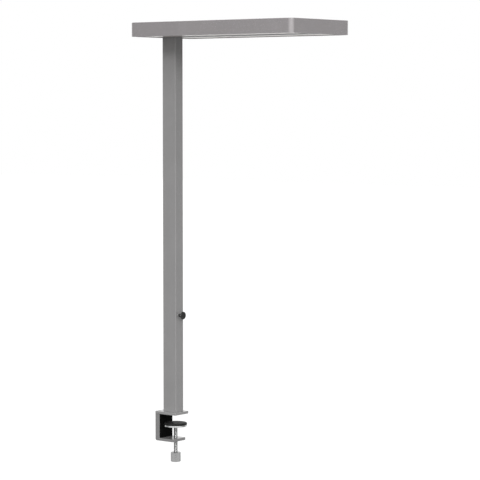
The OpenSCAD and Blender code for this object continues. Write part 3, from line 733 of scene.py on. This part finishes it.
print("pole")
poleSettings = {
    "wall": 2.0, "cornerRadius": 1.0, "perCorner": 5, "edge": 0.25,
    # two in the insert of the foot and two in the head's spigot
    "setScrewHeights": (19, 33, 1131.8, 1093.8), "setScrewDepth": 0.1,
    "screw": {"headRadius": 4.6, "shankRadius": 2.5, "length": 9.0, "socketRadius": 1.75,
              "socketDepth": 2.0, "gap": 0.1},
    "glandHole": 6.1, "bushHole": 3.9,
    "holeReach": 5.0,  # of the cutter of either hole, to each side of the pole's face
}


def makePole(settings):
    low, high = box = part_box("pole_tube")
    wall = mm(settings["wall"])
    corners = [(wall, low[2]), (0, low[2]), (0, high[2]), (wall, high[2])]
    outline = roundCorners(corners, [mm(settings["edge"])] * len(corners), closed=True, steps=2)
    rings = [boxRing(box, inset, mm(settings["cornerRadius"]), z, settings["perCorner"])
             for inset, z in outline]
    piece = newObject("poleTube", [stackRings(rings, closed=True)])
    screw = settings["screw"]
    spots = [(low[0] + mm(settings["setScrewDepth"]), 0, mm(z)) for z in settings["setScrewHeights"]]
    cutters = [borer(spot, (-1, 0, 0), sinkSteps(screw)) for spot in spots]
    reach = mm(settings["holeReach"])
    for face, side, node, hole in ((low[0], -1, "cable_gland", "glandHole"),
                                   (high[0], 1, "control_knob", "bushHole")):
        cutters.append(rod((face, 0, middle(node, 2)), (side, 0, 0), -reach, reach, mm(settings[hole])))
    cutAway(piece, cutters)
    dress(piece, paintedTube, "lamp", "pole_tube")
    screws("setScrews", "pole_screws", spots, screw, againstX)


makePole(poleSettings)

print("foot plate and its screws")
footSettings = {
    "seatDepth": 1.0, "cornerRadius": 1.0, "perCorner": 5, "edge": 0.5,
    "linerGap": 0.3,  # between the liner's face and the step over the bracket's wall
    "seatReach": 10.0,  # of the step's cutter, past the plate
    "footScrewLevel": 0.3, "bracketScrewLevel": -0.3,
    "footScrew": {"headRadius": 5.8, "shankRadius": 3.0, "length": 23.0, "socketRadius": 2.3,
                  "socketDepth": 2.4, "gap": 0.1},
    "bracketScrew": {"headRadius": 5.8, "shankRadius": 3.0, "length": 25.0, "socketRadius": 2.3,
                     "socketDepth": 2.4, "gap": 0.1},
}


def makeFootPlate(settings):
    low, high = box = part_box("foot_plate")
    edge = mm(settings["edge"])
    outline = roundCorners([(2 * edge, low[2]), (0, low[2]), (0, high[2]), (2 * edge, high[2])],
                           [0, edge / 2, edge, 0], steps=3)
    plate = stackRings([boxRing(box, inset, mm(settings["cornerRadius"]), z, settings["perCorner"])
                        for inset, z in outline])
    piece = newObject("footPlate", [plate])
    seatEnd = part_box("wall_liner")[1][0] + mm(settings["linerGap"])
    reach = mm(settings["seatReach"])
    seat = blockShape((low[0] - reach, low[1] - reach, low[2] - reach),
                      (seatEnd, high[1] + reach, low[2] + mm(settings["seatDepth"])))
    footScrew, bracketScrew = settings["footScrew"], settings["bracketScrew"]
    footSpots = screwSpots("foot_screws", footScrew, low[2] + mm(settings["footScrewLevel"]))
    bracketSpots = screwSpots("bracket_screws", bracketScrew, high[2] + mm(settings["bracketScrewLevel"]))
    cutters = [seat]
    cutters += [borer(spot, (0, 0, -1), sinkSteps(footScrew)) for spot in footSpots]
    cutters += [borer(spot, (0, 0, 1), sinkSteps(bracketScrew)) for spot in bracketSpots]
    cutAway(piece, cutters)
    dress(piece, paintedPlate, "lamp", "foot_plate")
    screws("footScrews", "foot_screws", footSpots, footScrew, upsideDown)
    screws("bracketScrews", "bracket_screws", bracketSpots, bracketScrew, upright)


makeFootPlate(footSettings)

print("clamp bracket")
bracketSettings = {
    "wall": 16.5, "jaw": 8.5, "rearRadius": 6.0, "rearSteps": 8, "edge": 0.6,
    "tapRadius": 3.05, "tapDepth": 19.3, "spindleHole": 6.05, "holeBevel": 0.5,
}


def makeBracket(settings):
    low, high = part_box("clamp_bracket")
    wall, jaw, rear = mm(settings["wall"]), mm(settings["jaw"]), mm(settings["rearRadius"])
    # clockwise seen from -Y, so that the skin faces outward
    side = roundCorners(
        [(low[0], low[2]), (low[0], high[2]), (low[0] + wall, high[2]),
         (low[0] + wall, low[2] + jaw), (high[0], low[2] + jaw), (high[0], low[2])],
        [rear, 0, 0, 0, 0, 0], closed=True, steps=settings["rearSteps"])
    rings = [[(x, y, z) for x, z in side] for y in (low[1], high[1])]
    piece = newObject("clampBracket", [stackRings(rings)])
    bevelEdges(piece, settings["edge"])
    past, hole, bevel = mm(overshootMm), mm(settings["spindleHole"]), mm(settings["holeBevel"])
    mouth = hole + bevel + past
    flare = [(-past, mouth), (bevel, hole), (jaw - bevel, hole), (jaw + past, mouth)]
    cutters = [borer((middle("spindle", 0), 0, low[2]), (0, 0, 1), flare)]
    for spot in screwSpots("bracket_screws", footSettings["bracketScrew"], high[2]):
        cutters.append(rod(spot, (0, 0, 1), -mm(settings["tapDepth"]), past, mm(settings["tapRadius"]),
                           smallHoleSides))
    cutAway(piece, cutters)
    dress(piece, shadedBracketCoat, "lamp", "clamp_bracket")


makeBracket(bracketSettings)

print("wall liner")
linerSettings = {"edge": 0.4}


def makeLiner(settings):
    piece = newObject("wallLiner", [blockShape(*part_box("wall_liner"))])
    bevelEdges(piece, settings["edge"])
    dress(piece, neopreneBlack, "lamp", "wall_liner")


makeLiner(linerSettings)

print("pressure plate and pad")
pressSettings = {
    "segments": 128, "lowerBevel": 0.8, "bevelRounding": 0.2, "topEdge": 0.3,
    "neckHole": 5.05, "sinkRadius": 7.0, "sinkDepth": 2.7, "padEdge": 3.2,
}


def makePressure(settings):
    foot = footOf("pressure_plate")
    radius, height = extentMm("pressure_plate", 0) / 2, extentMm("pressure_plate", 2)
    hole, sink = settings["neckHole"], settings["sinkRadius"]
    floor = height - settings["sinkDepth"]
    bevel, soft, edge = settings["lowerBevel"], settings["bevelRounding"], settings["topEdge"]
    outline = section([(hole, 0, 0), (radius - bevel, 0, soft), (radius, bevel, soft),
                       (radius, height, edge), (sink, height, edge), (sink, floor, 0), (hole, floor, soft),
                       (hole, 0, 0)], steps=4)
    plate = turned("pressurePlate", outline, {"Segments": settings["segments"], "Centre": foot})
    dress(plate, steelZinc, "pad_carrier", "pressure_plate")

    foot = footOf("pressure_pad")
    radius, height = extentMm("pressure_pad", 0) / 2, extentMm("pressure_pad", 2)
    edge = settings["padEdge"]
    outline = section([(0, 0, 0), (radius, 0, edge), (radius, height, edge), (0, height, 0)], steps=8)
    pad = turned("pressurePad", outline, {"Segments": settings["segments"], "Centre": foot})
    dress(pad, rubberBlack, "pad_carrier", "pressure_pad")


makePressure(pressSettings)

print("spindle and its bolt")
spindleSettings = {
    "radius": 6.0, "neckRadius": 5.0, "neckLength": 2.5, "boltHole": 2.55, "boltHoleDepth": 14,
    "pitch": 1.5,
    "threadDepth": 0.45,  # about half of the real one, so that the ridges read as fine as they look
    "threadAfter": 0.2, "plainEnd": 2.0, "rowsPerPitch": 8, "segments": 48, "chamfer": 0.9,
    "boltHead": 6.5, "boltHeadHeight": 2.0, "boltRadius": 2.5, "boltEdge": 0.4, "rimRounding": 0.2,
    "tipRounding": 0.3,
}


def makeSpindle(settings):
    foot, height = footOf("spindle"), extentMm("spindle", 2)
    r, neck, hole = settings["radius"], settings["neckRadius"], settings["boltHole"]
    shoulder, bottom = height - settings["neckLength"], height - settings["boltHoleDepth"]
    chamfer = settings["chamfer"]
    threadFrom, threadTo = chamfer + settings["threadAfter"], shoulder - settings["plainEnd"]
    rows = round((threadTo - threadFrom) / settings["pitch"] * settings["rowsPerPitch"])
    thread = [(r, threadFrom + (threadTo - threadFrom) * row / rows) for row in range(rows + 1)]
    tip = [(0, 0), (r - chamfer, 0), (r, chamfer)]
    top = [(r, shoulder), (neck, shoulder), (neck, height), (hole, height), (hole, bottom), (0, bottom)]
    wrought = [0] * len(tip) + [1] * len(thread) + [0] * len(top)
    spindle = turned("threadedSpindle", [(mm(a), mm(b)) for a, b in tip + thread + top], {
        "Segments": settings["segments"], "Thread Pitch": mm(settings["pitch"]),
        "Thread Depth": mm(settings["threadDepth"]), "Centre": foot}, wrought)
    dress(spindle, steelDark, "spindle", "spindle")

    height, boltFoot = extentMm("plate_screw", 2), (foot[0], 0.0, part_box("plate_screw")[0][2])
    head, shank, seat = settings["boltHead"], settings["boltRadius"], height - settings["boltHeadHeight"]
    outline = section([(0, 0, 0), (shank, 0, settings["tipRounding"]), (shank, seat, 0),
                       (head, seat, settings["rimRounding"]), (head, height, settings["boltEdge"]),
                       (0, height, 0)], steps=4)
    bolt = turned("plateScrew", outline, {"Segments": settings["segments"], "Centre": boltFoot})
    dress(bolt, steelZinc, "spindle", "plate_screw")


makeSpindle(spindleSettings)

print("spindle knob and its grub screw")
gripSettings = {
    "lowerBevel": 1.5, "lowerRounding": 0.6, "upperBevel": 1.0, "upperRounding": 0.3,
    "boreRadius": 6.05, "boreDepth": 22, "boreChamfer": 0.6,
    "ribs": 96, "stepsPerRib": 6, "ribDepth": 0.35, "ribMargin": 0.4,
    "grubRadius": 2.0, "grubDrop": 11, "grubGap": 0.05, "grubHoleReach": (3, 20), "grubSegments": 32,
    "grubChamfer": 0.5, "grubRim": 0.2,
    "grubSocketRadius": 1.15, "grubSocketDepth": 2.5, "grubSocketRim": 0.1,
}


def makeGrip(settings):
    foot = footOf("spindle_knob")
    radius, height = extentMm("spindle_knob", 0) / 2, extentMm("spindle_knob", 2)
    lower, upper, margin = settings["lowerBevel"], settings["upperBevel"], settings["ribMargin"]
    bore, chamfer, bottom = settings["boreRadius"], settings["boreChamfer"], height - settings["boreDepth"]
    start = section([(0, 0, 0), (radius - lower, 0, settings["lowerRounding"]), (radius, lower, 0)])
    side = [(radius, lower + margin), (radius, height - upper - margin)]
    end = section([(radius, height - upper, 0), (radius - upper, height, settings["upperRounding"]),
                   (bore + chamfer, height, 0), (bore, height - chamfer, 0), (bore, bottom, 0),
                   (0, bottom, 0)])
    grip = ribbedKnob("gripKnob", start, side, end, settings, {"Centre": foot})
    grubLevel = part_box("spindle_knob")[1][2] - mm(settings["grubDrop"])
    near, far = [mm(reach) for reach in settings["grubHoleReach"]]
    cutAway(grip, [rod((foot[0], 0, grubLevel), (-1, 0, 0), near, far,
                       mm(settings["grubRadius"] + settings["grubGap"]), smallHoleSides)])
    dress(grip, aluminiumTurned, "spindle", "spindle_knob")

    length, grubEnd = extentMm("knob_grub_screw", 0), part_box("knob_grub_screw")[1][0]
    r, chamfer, socket = settings["grubRadius"], settings["grubChamfer"], settings["grubSocketRadius"]
    bottom = length - settings["grubSocketDepth"]
    outline = section([(0, 0, 0), (r - chamfer, 0, 0), (r, chamfer, 0), (r, length, settings["grubRim"]),
                       (socket, length, settings["grubSocketRim"]), (socket, bottom, 0), (0, bottom, 0)])
    grub = turned("grubScrew", outline, {
        "Segments": settings["grubSegments"], "Turn": againstX, "Centre": (grubEnd, 0.0, grubLevel)})
    dress(grub, steelZinc, "spindle", "knob_grub_screw")


makeGrip(gripSettings)

print("control knob")
controlSettings = {
    "frontBevel": 0.9, "frontRounding": 0.4, "backBevel": 0.5, "backRounding": 0.2,
    "shaftHole": 3.05, "holeDepth": 2.0,
    "ribs": 48, "stepsPerRib": 6, "ribDepth": 0.3, "ribMargin": 0.3,
    "dishRadius": 8.2, "dishDepth": 0.5, "dishSlope": 0.6, "dishRounding": 0.3, "dishFloorRounding": 0.4,
    "nutHole": 3.85, "nutBackEdge": 0.1, "nutFrontEdge": 0.5, "nutHoleEdge": 0.2,
    "shaftRadius": 3.0, "shaftEdge": 0.5,
}


def makeControl(settings):
    radius, depth = extentMm("control_knob", 2) / 2, extentMm("control_knob", 0)
    hole, inner = settings["shaftHole"], settings["holeDepth"]
    back, front, margin = settings["backBevel"], settings["frontBevel"], settings["ribMargin"]
    soft, dish, floor = settings["backRounding"], settings["dishRadius"], depth - settings["dishDepth"]
    start = section([(0, inner, 0), (hole, inner, 0), (hole, 0, soft), (radius - back, 0, soft),
                     (radius, back, 0)])
    side = [(radius, back + margin), (radius, depth - front - margin)]
    end = section([(radius, depth - front, 0), (radius - front, depth, settings["frontRounding"]),
                   (dish, depth, settings["dishRounding"]),
                   (dish - settings["dishSlope"], floor, settings["dishFloorRounding"]), (0, floor, 0)])
    knob = ribbedKnob("controlKnob", start, side, end, settings,
                      {"Turn": alongX, "Centre": rearOf("control_knob")})
    dress(knob, nylonBlack, "control_knob", "control_knob")

    radius, depth = extentMm("dimmer_nut", 2) / 2, extentMm("dimmer_nut", 0)
    hole = settings["nutHole"]
    outline = section([(hole, 0, 0), (radius, 0, settings["nutBackEdge"]),
                       (radius, depth, settings["nutFrontEdge"]), (hole, depth, settings["nutHoleEdge"]),
                       (hole, 0, 0)])
    nut = turned("dimmerNut", outline, {"Turn": alongX, "Centre": rearOf("dimmer_nut")})
    dress(nut, nylonBlack, "lamp", "dimmer_nut")

    radius, edge, depth = settings["shaftRadius"], settings["shaftEdge"], extentMm("dimmer_shaft", 0)
    outline = section([(0, 0, 0), (radius, 0, edge), (radius, depth, edge), (0, depth, 0)])
    shaft = turned("dimmerShaft", outline, {"Turn": alongX, "Centre": rearOf("dimmer_shaft")})
    dress(shaft, steelZinc, "control_knob", "dimmer_shaft")


makeControl(controlSettings)

print("cable gland")
glandSettings = {
    "ringRadius": 7.0, "ringDepth": 2.0, "flangeRadius": 8.0, "flangeDepth": 2.5, "neckRadius": 6.0,
    "boreRadius": 4.0, "outerEdge": 0.6, "innerEdge": 0.3, "stepEdge": 0.1,
}


def makeGland(settings):
    # its collar outside the pole's rear face and its ring inside
    depth = extentMm("cable_gland", 0)
    ring, flange, neck, bore = [settings[key] for key in
                                ("ringRadius", "flangeRadius", "neckRadius", "boreRadius")]
    collar, inner = settings["flangeDepth"], depth - settings["ringDepth"]
    outer, soft, step = settings["outerEdge"], settings["innerEdge"], settings["stepEdge"]
    outline = section([(bore, 0, 0), (ring, 0, outer), (flange, collar, step), (neck, collar, 0),
                       (neck, inner, 0), (ring, inner, step), (ring, depth, soft), (bore, depth, soft),
                       (bore, 0, 0)], steps=4)
    gland = turned("cableGland", outline, {"Turn": alongX, "Centre": rearOf("cable_gland")})
    dress(gland, nylonBlack, "lamp", "cable_gland")


makeGland(glandSettings)
